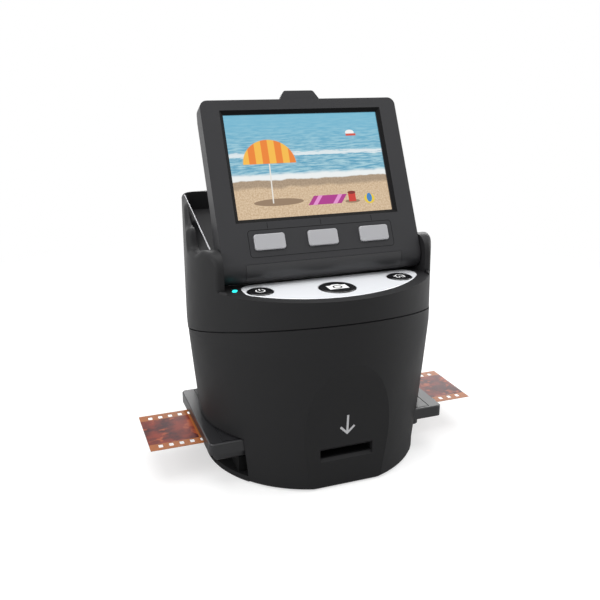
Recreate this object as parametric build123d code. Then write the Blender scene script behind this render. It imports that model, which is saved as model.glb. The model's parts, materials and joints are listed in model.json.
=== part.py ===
from build123d import *
import math
import os

# Desktop film negative scanner: a rounded tower on a film tray, with a small
# screen that tilts up out of the sloping top.
#
# Millimetres. X runs to the right as seen by someone facing the front, Y to
# the back, Z up. All sizes below are measured from the plan centre, where the
# body is widest. The parts are written about the centre of the footprint, with
# the rubber feet standing on Z = 0.

# ---------------------------------------------------------------- body shell
HALF_WIDTH = 57.5           # at the seam between the two housings
FRONT_DEPTH = 51.9          # plan centre to the front, at the seam
BACK_DEPTH = 61.5           # plan centre to the back, at the seam
BASE_HALF_WIDTH = 51.3      # at the table
BASE_FRONT_DEPTH = 49.3
BASE_BACK_DEPTH = 58.6
CORNER_RADIUS = 8.0         # rear corners, in plan
BACK_RADIUS = 530.0         # crown of the back, in plan
SIDE_TAPER = 0.19           # how fast the straight sides close in to the back
BELLY = 0.036               # how far the lower walls bow out, share of the taper
UPPER_DRAFT = 0.022         # inward lean of the upper housing's round front
WALL = 2.4
BODY_BOTTOM = 0.8           # underside of the housing and base plate

SEAM_HEIGHT = 65.4          # at the plan centre
SEAM_SLOPE = 0.241          # the seam drops towards the back
SEAM_GAP = 0.5
LIP_HEIGHT = 2.0            # lip of the lower housing, inside the upper one
LIP_THICKNESS = 1.1
LIP_CLEARANCE = 0.15

# ------------------------------------------------------------- control deck
RIM_TOP = 89.1
RIM_WIDTH = 1.7
DECK_DROP = 1.0             # deck surface below the rim
DECK_THICKNESS = 3.0
INSERT_THICKNESS = 1.5      # gloss panel let into the deck
INSERT_PROUD = 0.15
INSERT_MARGIN = 3.6         # deck left showing between the rim and the panel
INSERT_LEFT, INSERT_RIGHT = 39.4, 43.0
INSERT_BACK = -16.6
INSERT_CORNER = 6.0
BUTTON_RADIUS_SMALL, BUTTON_RADIUS_LARGE = 5.7, 8.1
BUTTON_SIDE_X, BUTTON_SIDE_Y = 32.6, -27.6
BUTTON_MIDDLE_Y = -33.3
BUTTON_PROUD = 0.4
BUTTON_TRAVEL = 0.5
BUTTON_CLEARANCE = 0.2
BUTTON_FLANGE = 0.8
STATUS_IN_X, STATUS_Y = 15.1, -22.9     # in from the body's side
STATUS_LENGTH, STATUS_WIDTH = 3.2, 2.0

# ------------------------------------------------------------ screen cradle
CRADLE_GAP = 0.5            # beside the screen, to each wing
CRADLE_BACK = 56.2
CRADLE_CORNER = 4.2
CRADLE_FLOOR = 90.6         # at the plan centre
CRADLE_SLOPE = 0.319
CRADLE_EDGE = 101.6         # inner edge of the shoulders at the plan centre
CRADLE_SKIN = 2.4
WING_FRONT = -24.4
WING_CREST = 104.4
WING_BROW = 7.5             # radius of the wings' forehead, seen from the side
SIDE_LIP_RADIUS = 2.4
NOTCH_HEIGHT = 101.9        # low part of the side walls, behind the wings
FIRST_WAVE = 109.6          # height of the first rise of the side walls
BACK_RIM = 117.6
VALLEY_WALL = 1.7           # outer wall left beside the valley in each shoulder
VALLEY_FRONT, VALLEY_BACK, VALLEY_END = -3.0, 24.0, 30.0
VALLEY_FLOOR = 103.6        # floor of the valley at its back, by the outer wall
RIM_ROUND = 0.7

# ------------------------------------------------------------------- screen
SCREEN_WIDTH = 93.2
SCREEN_HEIGHT = 80.6        # along the face, from the hinge's lower edge
SCREEN_THICKNESS = 8.6
BEZEL_THICKNESS = 5.0
SCREEN_CORNER = 3.4
SCREEN_TILT = 63.7          # face to the horizontal, as raised
HINGE_Y, HINGE_Z = -14.3, 95.55
BARREL_RADIUS = 6.9
BARREL_FROM_FOOT = 7.5      # hinge axis above the foot of the face
BACK_CHAMFER_RISE, BACK_CHAMFER_DEPTH = 7.0, 2.2
BACK_FLARE_TOP = 31.0
PIN_RADIUS = 2.0
PIN_CLEARANCE = 0.05
PIN_IN_BARREL = 8.0
PIN_IN_WING = 5.0
ACTIVE_WIDTH, ACTIVE_HEIGHT = 73.44, 47.3
ACTIVE_FOOT = 27.0
WINDOW_BEVEL = 1.6
WINDOW_DEPTH = 1.2
PANEL_MARGIN = 2.4          # hidden border of the display panel
PANEL_THICKNESS = 2.5
BOARD_THICKNESS = 1.2
BOARD_IN_X = 10.6           # display board, in from the screen's sides
TAB_HALF_WIDTH, TAB_TIP_HALF_WIDTH = 10.4, 7.0
TAB_HEIGHT = 4.5
TAB_THICKNESS = 3.4
TAB_SETBACK = 1.2
KEY_WIDTH, KEY_HEIGHT = 13.9, 7.0
KEY_PITCH = 24.6
KEY_FOOT = 16.45
KEY_PROUD = 0.8
KEY_TRAVEL = 0.4
KEY_CLEARANCE = 0.2
KEY_FLANGE = 0.8
KEY_PLATE = 2.0             # bezel left in front of the key flanges
COVER_HALF_WIDTH = 36.5     # hinge cover let into the barrel
COVER_THICKNESS = 1.1

# ------------------------------------------------- film holder and its tunnel
TRAY_END_INSET = 0.2        # holder's ends, in from the body's sides
TRAY_HALF_WIDTH = 30.1
TRAY_TOP = 22.0
TRAY_LIP = 5.4              # thickness of the upper half of the holder
TRAY_KEEL = 4.0             # lower half, set in from the lip
TRAY_KEEL_INSET = 2.4
TRAY_KEEL_SHORT = 10.8      # the lower half ends this much sooner on the right
TRAY_CORNER = 2.0
TRAY_PANEL_END, TRAY_PANEL_SIDE = 6.0, 1.4
TRAY_CLEARANCE = 0.6
FILM_WIDTH, FILM_THICKNESS = 35.0, 0.2
FILM_LENGTH = 162.0
FILM_CHANNEL = 1.0          # height of the film's way through the holder
FRAME_WIDTH, FRAME_HEIGHT = 36.0, 24.0
PERFORATION_PITCH = 4.75
PERFORATION_LENGTH, PERFORATION_WIDTH = 2.0, 2.8
PERFORATION_EDGE = 2.0
RAIL_WALL = 2.2
RAIL_HALF_LENGTH = 33.5     # inside the curved front wall
RAIL_LEDGE = 2.0
RUNNING_GAP = 0.1           # under and beside what slides

# -------------------------------------------------------- front card recess
SCOOP_PLANE = -46.6
SCOOP_BEND_HEIGHT = 18.0    # the recess is upright up to here
SCOOP_RADIUS = 172.0        # and leans out on this arc above
SCOOP_BACKING = 44.0        # solid backing, up from the bend
SLOT_HALF_WIDTH = 12.5
SLOT_BOTTOM, SLOT_TOP = 14.7, 18.5
SLOT_BEVEL = 1.3            # height of the sloping lead-in above and below
SLOT_BEVEL_DEPTH = 1.2
CARD_SOCKET_MARGIN = 1.6

# ------------------------------------------------------------ inner workings
BASE_THICKNESS = 2.6
FOOT_RADIUS, FOOT_HEIGHT, FOOT_RECESS = 5.0, 1.6, 0.8
# Feet, posts and screws are set in by these distances from the outline at
# the table: from the side, and from the front or the back.
FOOT_IN_X, FOOT_IN_FRONT, FOOT_IN_BACK = 24.3, 18.3, 15.6
POST_FRONT_IN_X, POST_FRONT_IN_Y = 31.3, 9.7
POST_BACK_IN_X, POST_BACK_IN_Y = 15.3, 17.6
POST_RADIUS = 3.6
POST_DROP = 1.2             # joint of the posts below the seam at their centre
SCREW_RADIUS = 1.2
SCREW_HEAD_RADIUS, SCREW_HEAD_HEIGHT = 2.4, 1.6
SCREW_SEAT = 3.0            # plastic under the head of each housing screw
SCREW_GRIP = 7.0
SCREW_CLEARANCE = 0.3
BASE_SCREW_FRONT_IN_X, BASE_SCREW_FRONT_IN_Y = 41.3, 11.3
BASE_SCREW_BACK_IN_X, BASE_SCREW_BACK_IN_Y = 34.3, 13.6
BASE_BOSS_HEIGHT = 9.0
BASE_SCREW_GRIP = 6.0
RIB_THICKNESS = 1.6
LAMP_HALF_LENGTH, LAMP_HALF_WIDTH = 43.4, 25.0
LAMP_GAP = 0.8              # between the lamp box and the holder above it
LAMP_WALL = 1.8
DIFFUSER_HALF_LENGTH, DIFFUSER_HALF_WIDTH, DIFFUSER_THICKNESS = 26.0, 20.0, 2.4
LAMP_DOT = 2.4              # side of each light on the lamp board
LAMP_DOT_HEIGHT = 0.9
LAMP_PITCH_X, LAMP_PITCH_Y = 12.0, 10.0
GATE_THICKNESS = 2.0
GATE_HALF_LENGTH = 30.0
TOWER_HEIGHT = 32.0
TOWER_FOOT, TOWER_HEAD = 44.0, 24.0
TOWER_WALL = 1.8
TOWER_COLLAR = 3.0          # rim that the sensor board stands on
LENS_RADIUS, LENS_LENGTH, LENS_GLASS_RADIUS = 7.0, 14.0, 5.4
LENS_GLASS_THICKNESS = 2.0
SENSOR_LENGTH, SENSOR_WIDTH, SENSOR_THICKNESS = 12.0, 9.0, 1.4
SOCKET_Z = 31.0
USB_X, USB_WIDTH, USB_HEIGHT = -12.0, 7.6, 3.2
VIDEO_X, VIDEO_WIDTH, VIDEO_HEIGHT = 10.0, 11.2, 3.4
SOCKET_CLEARANCE = 0.3
SOCKET_SHELL = 0.5
SOCKET_LENGTH = 7.0
MAIN_BOARD_HALF_WIDTH, MAIN_BOARD_BOTTOM, MAIN_BOARD_TOP = 26.0, 20.0, 48.0
CONTROL_BOARD_DROP = 4.6    # below the deck

# ------------------------------------------------------------ derived values
CRADLE_HALF_WIDTH = SCREEN_WIDTH / 2 + CRADLE_GAP
MAIN_BOARD_Y = BASE_BACK_DEPTH - 0.4 - SOCKET_LENGTH - BOARD_THICKNESS
FOOTPRINT_SHIFT = (FRONT_DEPTH - BACK_DEPTH) / 2
STATUS_X = STATUS_IN_X - HALF_WIDTH
TRAY_HALF_LENGTH = HALF_WIDTH - TRAY_END_INSET
SEAM_TILT = math.degrees(math.atan(SEAM_SLOPE))
DECK_TOP = RIM_TOP - DECK_DROP
DECK_UNDER = DECK_TOP - DECK_THICKNESS
INSERT_TOP = DECK_TOP + INSERT_PROUD
UPPER_TOP = BACK_RIM + 6.0
BASE_TOP = BODY_BOTTOM + BASE_THICKNESS
TUNNEL_TOP = TRAY_TOP + TRAY_CLEARANCE
TUNNEL_HALF_WIDTH = TRAY_HALF_WIDTH + TRAY_CLEARANCE
LIP_BOTTOM = TRAY_TOP - TRAY_LIP
KEEL_BOTTOM = LIP_BOTTOM - TRAY_KEEL
LAMP_TOP = KEEL_BOTTOM - LAMP_GAP
GATE_BOTTOM = TUNNEL_TOP + 0.4
RAIL_INNER = TRAY_HALF_WIDTH + TRAY_CLEARANCE
RAIL_OUTER = RAIL_INNER + RAIL_WALL
GATE_TOP = GATE_BOTTOM + GATE_THICKNESS
FAR = 200.0                 # larger than anything in the part

PARTS = {}


def keep(name, shape):
    """Files a finished part under its name."""
    PARTS[name] = shape


def seam_height(y):
    """Height of the seam at depth y."""
    return SEAM_HEIGHT - SEAM_SLOPE * y


def block(x0, x1, y0, y1, z0, z1):
    """A box between two opposite corners."""
    centre = Pos((x0 + x1) / 2, (y0 + y1) / 2, (z0 + z1) / 2)
    return centre * Box(x1 - x0, y1 - y0, z1 - z0)


def rod(x, y, z0, z1, radius):
    """An upright cylinder from z0 to z1."""
    return Pos(x, y, (z0 + z1) / 2) * Cylinder(radius, z1 - z0)


def side_profile(points, half_width, both=True):
    """A closed outline of (y, z) points, carried across X."""
    face = Plane.YZ * make_face(Polyline(*points, close=True))
    return extrude(face, amount=half_width, both=both)


def plan(half_width, front_depth, back_depth, corner, height, taper=SIDE_TAPER):
    """Outline of the body at one height: half an ellipse in front, straight
    sides that close in to the back, round rear corners and a crowned back."""
    leave = math.atan(taper * front_depth / half_width)
    start = Vector(half_width * math.cos(leave), front_depth * math.sin(leave))
    along = Vector(-taper, 1).normalized()
    inward = Vector(-along.Y, along.X)
    crown = Vector(0, back_depth - BACK_RADIUS)
    reach = BACK_RADIUS - corner
    from_crown = start + inward * corner - crown
    ahead = from_crown.dot(along)
    run = -ahead + math.sqrt(ahead**2 - from_crown.dot(from_crown) + reach**2)
    centre = start + along * run + inward * corner
    side_end = start + along * run
    back_end = crown + (centre - crown) * (BACK_RADIUS / reach)
    middle = centre + ((side_end - centre) + (back_end - centre)).normalized() * corner

    def mirrored(p):
        return Vector(-p.X, p.Y)

    angle = math.degrees(leave)
    front = EllipticalCenterArc(
        (0, 0), half_width, front_depth, start_angle=180 - angle, arc_size=180 + 2 * angle
    )
    outline = [
        front,
        Line(start, side_end),
        ThreePointArc(side_end, middle, back_end),
        ThreePointArc(back_end, Vector(0, back_depth), mirrored(back_end)),
        ThreePointArc(mirrored(back_end), mirrored(middle), mirrored(side_end)),
        Line(mirrored(side_end), mirrored(start)),
    ]
    return Pos(0, 0, height) * make_face(Curve() + outline)


def lower_plan(height, inset=0.0):
    """Body outline below the seam: a straight taper to the table, bowed out."""
    share = (SEAM_HEIGHT - height) / SEAM_HEIGHT
    share = share + 4 * BELLY * -share * (1 - share)
    return plan(
        HALF_WIDTH + (BASE_HALF_WIDTH - HALF_WIDTH) * share - inset,
        FRONT_DEPTH + (BASE_FRONT_DEPTH - FRONT_DEPTH) * share - inset,
        BACK_DEPTH + (BASE_BACK_DEPTH - BACK_DEPTH) * share - inset,
        CORNER_RADIUS - inset,
        height,
    )


def upper_plan(height, inset=0.0):
    """Body outline above the seam: the round front leans in a little, and the
    rear corners stay upright."""
    lean = max(height - SEAM_HEIGHT, 0) * UPPER_DRAFT
    return plan(
        HALF_WIDTH - lean - inset,
        FRONT_DEPTH - lean - inset,
        BACK_DEPTH - inset,
        CORNER_RADIUS - inset,
        height,
        SIDE_TAPER - lean / BACK_DEPTH,
    )


def side_reach(y):
    """Half-width of the upper body at its rim, at depth y behind the middle."""
    lean = (BACK_RIM - SEAM_HEIGHT) * UPPER_DRAFT
    return HALF_WIDTH - lean - (SIDE_TAPER - lean / BACK_DEPTH) * max(y - 4.0, 0)


def lower_solid(bottom, inset=0.0):
    """The tapering lower body from one height up past the seam."""
    middle = (bottom + SEAM_HEIGHT) / 2
    sections = [
        lower_plan(bottom, inset),
        lower_plan(middle, inset),
        lower_plan(SEAM_HEIGHT, inset),
    ]
    tower = loft(sections)
    return tower + extrude(lower_plan(SEAM_HEIGHT, inset), amount=FRONT_DEPTH * SEAM_SLOPE + 6)


def upper_solid(top, inset=0.0):
    """The upper body, from below the seam to one height."""
    foot = seam_height(BACK_DEPTH) - 6
    straight = extrude(upper_plan(SEAM_HEIGHT, inset), amount=foot - SEAM_HEIGHT)
    return straight + loft([upper_plan(SEAM_HEIGHT, inset), upper_plan(top, inset)])


def above_seam(offset):
    """Everything above the sloping seam, moved up by an offset."""
    lid = Pos(0, 0, FAR / 2 + offset) * Box(2 * FAR, 2 * FAR, FAR)
    return Location((0, 0, SEAM_HEIGHT), (-SEAM_TILT, 0, 0)) * lid


def below_seam(offset):
    """Everything below the sloping seam, moved up by an offset."""
    lid = Pos(0, 0, offset - FAR / 2) * Box(2 * FAR, 2 * FAR, FAR)
    return Location((0, 0, SEAM_HEIGHT), (-SEAM_TILT, 0, 0)) * lid


def pairs(front_in_x, front_in_y, back_in_x, back_in_y):
    """Four places set in from the outline at the table: two in front, two
    behind, both pairs about X = 0."""
    front_x, back_x = BASE_HALF_WIDTH - front_in_x, BASE_HALF_WIDTH - back_in_x
    front_y, back_y = front_in_y - BASE_FRONT_DEPTH, BASE_BACK_DEPTH - back_in_y
    return [(-front_x, front_y), (front_x, front_y), (-back_x, back_y), (back_x, back_y)]


def post_places():
    """The four posts that join the two housings."""
    return pairs(POST_FRONT_IN_X, POST_FRONT_IN_Y, POST_BACK_IN_X, POST_BACK_IN_Y)


def base_screw_places():
    """The four screws that hold the base plate."""
    return pairs(
        BASE_SCREW_FRONT_IN_X, BASE_SCREW_FRONT_IN_Y, BASE_SCREW_BACK_IN_X, BASE_SCREW_BACK_IN_Y
    )


def foot_places():
    """The four rubber feet."""
    return pairs(FOOT_IN_X, FOOT_IN_FRONT, FOOT_IN_X, FOOT_IN_BACK)


def post_joint(y):
    """Height at which the lower and upper posts meet."""
    return seam_height(y) - POST_DROP


def screw_seat(y):
    """Height of the seat under a housing screw's head."""
    return post_joint(y) - SCREW_SEAT


# ------------------------------------------------------------- lower housing
def scoop_tool():
    """The card recess: upright at the foot, leaning out on a large arc."""
    lean = math.radians(18)
    bend = (SCOOP_PLANE, SCOOP_BEND_HEIGHT)
    middle = (
        SCOOP_PLANE - SCOOP_RADIUS * (1 - math.cos(lean / 2)),
        SCOOP_BEND_HEIGHT + SCOOP_RADIUS * math.sin(lean / 2),
    )
    end = (
        SCOOP_PLANE - SCOOP_RADIUS * (1 - math.cos(lean)),
        SCOOP_BEND_HEIGHT + SCOOP_RADIUS * math.sin(lean),
    )
    outline = [
        Line((SCOOP_PLANE, -5), bend),
        ThreePointArc(bend, middle, end),
        Line(end, (-FAR, end[1])),
        Line((-FAR, end[1]), (-FAR, -5)),
        Line((-FAR, -5), (SCOOP_PLANE, -5)),
    ]
    return extrude(Plane.YZ * make_face(Curve() + outline), amount=BASE_HALF_WIDTH, both=True)


def card_slot_tool():
    """Slot for a memory card, with a sloping lead-in below it."""
    back = SCOOP_PLANE + WALL + 3
    mouth = SCOOP_PLANE - 1
    return side_profile(
        [
            (mouth, SLOT_TOP + SLOT_BEVEL),
            (SCOOP_PLANE, SLOT_TOP + SLOT_BEVEL),
            (SCOOP_PLANE + SLOT_BEVEL_DEPTH, SLOT_TOP),
            (back, SLOT_TOP),
            (back, SLOT_BOTTOM),
            (SCOOP_PLANE + SLOT_BEVEL_DEPTH, SLOT_BOTTOM),
            (SCOOP_PLANE, SLOT_BOTTOM - SLOT_BEVEL),
            (mouth, SLOT_BOTTOM - SLOT_BEVEL),
        ],
        SLOT_HALF_WIDTH,
    )


def lower_cavity():
    """Hollow of the lower housing, kept back behind the card recess."""
    hollow = lower_solid(BODY_BOTTOM - 2, WALL)
    kept_back = block(
        -SLOT_HALF_WIDTH - 10, SLOT_HALF_WIDTH + 10,
        -FAR, SCOOP_PLANE + WALL, -5, SCOOP_BEND_HEIGHT + SCOOP_BACKING,
    )
    return hollow - kept_back


def lower_posts():
    """Tubes for the housing screws, bosses for the base screws and standoffs
    for the main board, with ribs to the nearest wall."""
    pieces = []
    half_rib = RIB_THICKNESS / 2
    for x, y in post_places():
        wall = -FRONT_DEPTH if y < 0 else BACK_DEPTH
        low, high = sorted((y, wall))
        top = post_joint(y)
        pieces.append(rod(x, y, BASE_TOP, top, POST_RADIUS))
        pieces.append(block(x - half_rib, x + half_rib, low, high, BASE_TOP + 4, top - 4))
    for x, y in base_screw_places():
        wall = -FRONT_DEPTH if y < 0 else BACK_DEPTH
        low, high = sorted((y, wall))
        top = BASE_TOP + BASE_BOSS_HEIGHT
        pieces.append(rod(x, y, BASE_TOP, top, POST_RADIUS))
        pieces.append(block(x - half_rib, x + half_rib, low, high, BASE_TOP, top - 1))
    for x in (-MAIN_BOARD_HALF_WIDTH + 4, MAIN_BOARD_HALF_WIDTH - 4):
        for z in (MAIN_BOARD_BOTTOM + 4, MAIN_BOARD_TOP - 4):
            length = BACK_DEPTH - MAIN_BOARD_Y - BOARD_THICKNESS
            place = Pos(x, MAIN_BOARD_Y + BOARD_THICKNESS + length / 2, z)
            pieces.append(place * Rot(90, 0, 0) * Cylinder(2.4, length))
    return pieces


def post_bores():
    """Screw ways through the tubes and pilot holes in the base bosses."""
    bores = []
    for x, y in post_places():
        bores.append(rod(x, y, -5, screw_seat(y), SCREW_HEAD_RADIUS + SCREW_CLEARANCE))
        bores.append(rod(x, y, -5, FAR, SCREW_RADIUS + SCREW_CLEARANCE))
    for x, y in base_screw_places():
        bores.append(rod(x, y, -5, BASE_TOP + BASE_SCREW_GRIP, SCREW_RADIUS))
    return bores


def socket_hole(x, width, height):
    """Opening for one rear socket."""
    grow = SOCKET_CLEARANCE
    return block(
        x - width / 2 - grow, x + width / 2 + grow, MAIN_BOARD_Y + BOARD_THICKNESS, FAR,
        SOCKET_Z - height / 2 - grow, SOCKET_Z + height / 2 + grow,
    )


def lower_housing():
    """Tapered lower shell with the tray tunnel, card recess and screw posts."""
    outer = lower_solid(BODY_BOTTOM)
    outer = fillet(outer.faces().sort_by(Axis.Z)[0].edges(), 0.8)
    posts = Part() + [outer & piece for piece in lower_posts()]
    shell = outer - lower_cavity() + posts - above_seam(-SEAM_GAP / 2)
    lip = lower_solid(BODY_BOTTOM, WALL - LIP_THICKNESS) - lower_solid(BODY_BOTTOM - 2, WALL)
    lip -= above_seam(LIP_HEIGHT)
    lip -= below_seam(-4)
    shell += lip
    shell -= scoop_tool()
    shell -= card_slot_tool()
    for side in (-1, 1):
        low, high = sorted((side * RAIL_HALF_LENGTH, side * FAR))
        shell -= block(low, high, -TUNNEL_HALF_WIDTH, TUNNEL_HALF_WIDTH, -5, TUNNEL_TOP)
    shell -= post_bores()
    shell -= socket_hole(USB_X, USB_WIDTH, USB_HEIGHT)
    shell -= socket_hole(VIDEO_X, VIDEO_WIDTH, VIDEO_HEIGHT)
    return shell


# ------------------------------------------------------------- upper housing
def wave(start, end, start_pull, end_pull):
    """An S-shaped rise between two points, level at both ends."""
    return Bezier(
        start, (start[0] + start_pull, start[1]), (end[0] - end_pull, end[1]), end
    )


def side_wall_tool():
    """Everything above the top of the side walls: the wings' brow and crest, a
    low notch, a first rise, a saddle and the second rise to the back rim. It
    takes away all that lies in front of the wings above the rim."""
    brow_foot = (WING_FRONT, WING_CREST - WING_BROW)
    brow_middle = (
        WING_FRONT + WING_BROW * (1 - math.cos(math.pi / 4)),
        WING_CREST - WING_BROW * (1 - math.sin(math.pi / 4)),
    )
    crest_start = (WING_FRONT + WING_BROW, WING_CREST)
    crest_end = (crest_start[0] + 3.0, WING_CREST)
    notch_start = (crest_end[0] + 7.5, NOTCH_HEIGHT)
    notch_end = (notch_start[0] + 6.0, NOTCH_HEIGHT)
    saddle_start = (notch_end[0] + 9.0, FIRST_WAVE)
    saddle_end = (saddle_start[0] + 4.5, FIRST_WAVE)
    rim_start = (saddle_end[0] + 15.0, BACK_RIM)
    outline = [
        Line((-FAR, RIM_TOP), (WING_FRONT, RIM_TOP)),
        Line((WING_FRONT, RIM_TOP), brow_foot),
        ThreePointArc(brow_foot, brow_middle, crest_start),
        Line(crest_start, crest_end),
        wave(crest_end, notch_start, 3.0, 3.0),
        Line(notch_start, notch_end),
        wave(notch_end, saddle_start, 4.5, 4.5),
        Line(saddle_start, saddle_end),
        wave(saddle_end, rim_start, 6.5, 8.0),
        Line(rim_start, (FAR, BACK_RIM)),
        Line((FAR, BACK_RIM), (FAR, FAR)),
        Line((FAR, FAR), (-FAR, FAR)),
        Line((-FAR, FAR), (-FAR, RIM_TOP)),
    ]
    return extrude(Plane.YZ * make_face(Curve() + outline), amount=FAR, both=True)


def cradle_edge(y):
    """Height of the cradle's inner edge at depth y."""
    return min(CRADLE_EDGE + CRADLE_SLOPE * y, BACK_RIM - 0.2)


def shoulder_tool(side):
    """Cut over one shoulder: a valley between the cradle's rising edge and the
    outer wall, closed behind by a slope up to the rim."""

    def section(y, outer, floor):
        inner = CRADLE_HALF_WIDTH - 1
        points = [
            Vector(side * inner, y, cradle_edge(y)),
            Vector(side * CRADLE_HALF_WIDTH, y, cradle_edge(y)),
            Vector(side * outer, y, floor),
            Vector(side * outer, y, BACK_RIM + 20),
            Vector(side * inner, y, BACK_RIM + 20),
        ]
        return make_face(Polyline(*points, close=True))

    end_y = (BACK_RIM - 0.4 - CRADLE_EDGE) / CRADLE_SLOPE
    sections = [
        section(VALLEY_FRONT, side_reach(VALLEY_FRONT) - VALLEY_WALL - 2.6, NOTCH_HEIGHT - 1.2),
        section(VALLEY_BACK, side_reach(VALLEY_BACK) - VALLEY_WALL, VALLEY_FLOOR),
        section(VALLEY_END, side_reach(VALLEY_END) - VALLEY_WALL, BACK_RIM - 0.3),
        section(end_y, side_reach(end_y) - VALLEY_WALL + 0.4, BACK_RIM - 0.05),
    ]
    return loft(sections, ruled=True)


def cradle_tool():
    """Space for the folded screen, with the slope that it lies over."""
    floor_front = CRADLE_FLOOR + CRADLE_SLOPE * -6
    space = side_profile(
        [
            (WING_FRONT - 30, DECK_TOP),
            (-9.0, DECK_TOP),
            (-6.0, floor_front),
            (CRADLE_BACK, CRADLE_FLOOR + CRADLE_SLOPE * CRADLE_BACK),
            (CRADLE_BACK, FAR),
            (WING_FRONT - 30, FAR),
        ],
        CRADLE_HALF_WIDTH,
    )
    corners = space.edges().filter_by(Axis.Z).group_by(Axis.Y)[-1]
    return fillet(corners, CRADLE_CORNER)


def insert_outline(grow=0.0):
    """Plan of the gloss panel: a slice of the body's own curve."""
    inset = RIM_WIDTH + INSERT_MARGIN - grow
    lean = (RIM_TOP - SEAM_HEIGHT) * UPPER_DRAFT
    curve = Ellipse(HALF_WIDTH - lean - inset, FRONT_DEPTH - lean - inset)
    crop = Pos((INSERT_RIGHT - INSERT_LEFT) / 2, INSERT_BACK - FAR / 2 + grow) * Rectangle(
        INSERT_LEFT + INSERT_RIGHT + 2 * grow, FAR
    )
    shape = curve & crop
    return fillet(shape.vertices(), INSERT_CORNER + grow)


def button_places():
    """Centre and radius of the three deck buttons."""
    return {
        "power_button": (-BUTTON_SIDE_X, BUTTON_SIDE_Y, BUTTON_RADIUS_SMALL),
        "capture_button": (0.0, BUTTON_MIDDLE_Y, BUTTON_RADIUS_LARGE),
        "home_button": (BUTTON_SIDE_X, BUTTON_SIDE_Y, BUTTON_RADIUS_SMALL),
    }


def upper_cavity():
    """Hollow under the deck and under the cradle's slope."""
    hollow = upper_solid(UPPER_TOP, WALL)
    under = side_profile(
        [
            (-FAR, 0),
            (-FAR, DECK_UNDER),
            (-9.0, DECK_UNDER),
            (-6.0, CRADLE_FLOOR + CRADLE_SLOPE * -6 - CRADLE_SKIN),
            (CRADLE_BACK - 4, CRADLE_FLOOR + CRADLE_SLOPE * (CRADLE_BACK - 4) - CRADLE_SKIN),
            (FAR, CRADLE_FLOOR + CRADLE_SLOPE * (CRADLE_BACK - 4) - CRADLE_SKIN),
            (FAR, 0),
        ],
        FAR,
    )
    return hollow & under


def upper_posts():
    """Posts that the housing screws bite into, up to the roof of the hollow."""
    return [rod(x, y, post_joint(y), BACK_RIM - 10, POST_RADIUS - 0.4) for x, y in post_places()]


def board_bosses():
    """Short bosses under the deck that carry the control board."""
    bottom = DECK_UNDER - CONTROL_BOARD_DROP
    spots = [(-20.0, -20.0), (20.0, -20.0), (-14.0, -43.0), (14.0, -43.0)]
    return [rod(x, y, bottom, DECK_UNDER, 2.0) for x, y in spots]


def upper_housing():
    """Upper shell: deck, rim, wings, shoulders and the screen's cradle."""
    body = upper_solid(UPPER_TOP)
    body -= side_wall_tool()
    body = fillet(soft_edges(body), SIDE_LIP_RADIUS)
    body -= rim_bevel_tool()
    body -= shoulder_tool(-1)
    body -= shoulder_tool(1)
    body -= cradle_tool()
    deck_plan = upper_plan(RIM_TOP, RIM_WIDTH) & (
        Pos(0, WING_FRONT - FAR / 2, RIM_TOP) * Rectangle(2 * FAR, FAR)
    )
    body -= extrude(Pos(0, 0, DECK_TOP - RIM_TOP) * deck_plan, amount=FAR)
    body -= upper_cavity()
    body -= below_seam(SEAM_GAP / 2)
    body -= lower_solid(BODY_BOTTOM, WALL - LIP_THICKNESS - LIP_CLEARANCE) & (
        below_seam(LIP_HEIGHT + LIP_CLEARANCE)
    )
    room = upper_cavity()
    body += [room & post for post in upper_posts()]
    body += board_bosses()
    for x, y in post_places():
        body -= rod(x, y, post_joint(y) - 1, screw_seat(y) + SCREW_SEAT + SCREW_GRIP, SCREW_RADIUS)
    pocket = extrude(Pos(0, 0, INSERT_TOP - INSERT_THICKNESS) * insert_outline(), amount=FAR)
    body -= pocket & block(-FAR, FAR, -FAR, INSERT_BACK + 1, DECK_UNDER, RIM_TOP + 1)
    for x, y, radius in button_places().values():
        body -= rod(x, y, DECK_UNDER - 1, RIM_TOP, radius + BUTTON_CLEARANCE)
    body -= status_light_solid(0.0)
    for side in (-1, 1):
        body -= hinge_pin(side)
    return body


def soft_edges(body):
    """The outer edges from the rim up over the wings and round the back."""
    return [
        edge
        for edge in body.edges().filter_by(GeomType.BSPLINE)
        if edge.center().Z > RIM_TOP + 2
        and edge.bounding_box().size.Z < BACK_RIM - SEAM_HEIGHT - 10
    ]


def rim_bevel_tool():
    """Takes the sharp outer edge off the rim round the deck."""
    foot = RIM_TOP - RIM_ROUND
    around = extrude(upper_plan(foot, -1.0), amount=2 * RIM_ROUND)
    left = loft([upper_plan(foot), upper_plan(RIM_TOP, RIM_ROUND)])
    return (around - left) & block(-FAR, FAR, -FAR, WING_FRONT, foot, RIM_TOP + 1)


def hinge_pin(side):
    """One hinge pin: fast in the wing, free in the screen's barrel."""
    inner = SCREEN_WIDTH / 2 - PIN_IN_BARREL
    outer = CRADLE_HALF_WIDTH + PIN_IN_WING
    place = Pos(side * (inner + outer) / 2, HINGE_Y, HINGE_Z)
    return place * Rot(0, 90, 0) * Cylinder(PIN_RADIUS, outer - inner)


# ---------------------------------------------------------- deck and buttons
def deck_insert():
    """Gloss panel of the deck, with its button holes."""
    panel = extrude(
        Pos(0, 0, INSERT_TOP - INSERT_THICKNESS) * insert_outline(), amount=INSERT_THICKNESS
    )
    panel = chamfer(panel.faces().sort_by(Axis.Z)[-1].edges(), 0.3)
    for x, y, radius in button_places().values():
        panel -= rod(x, y, DECK_TOP - 5, RIM_TOP, radius + BUTTON_CLEARANCE)
    return panel


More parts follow.
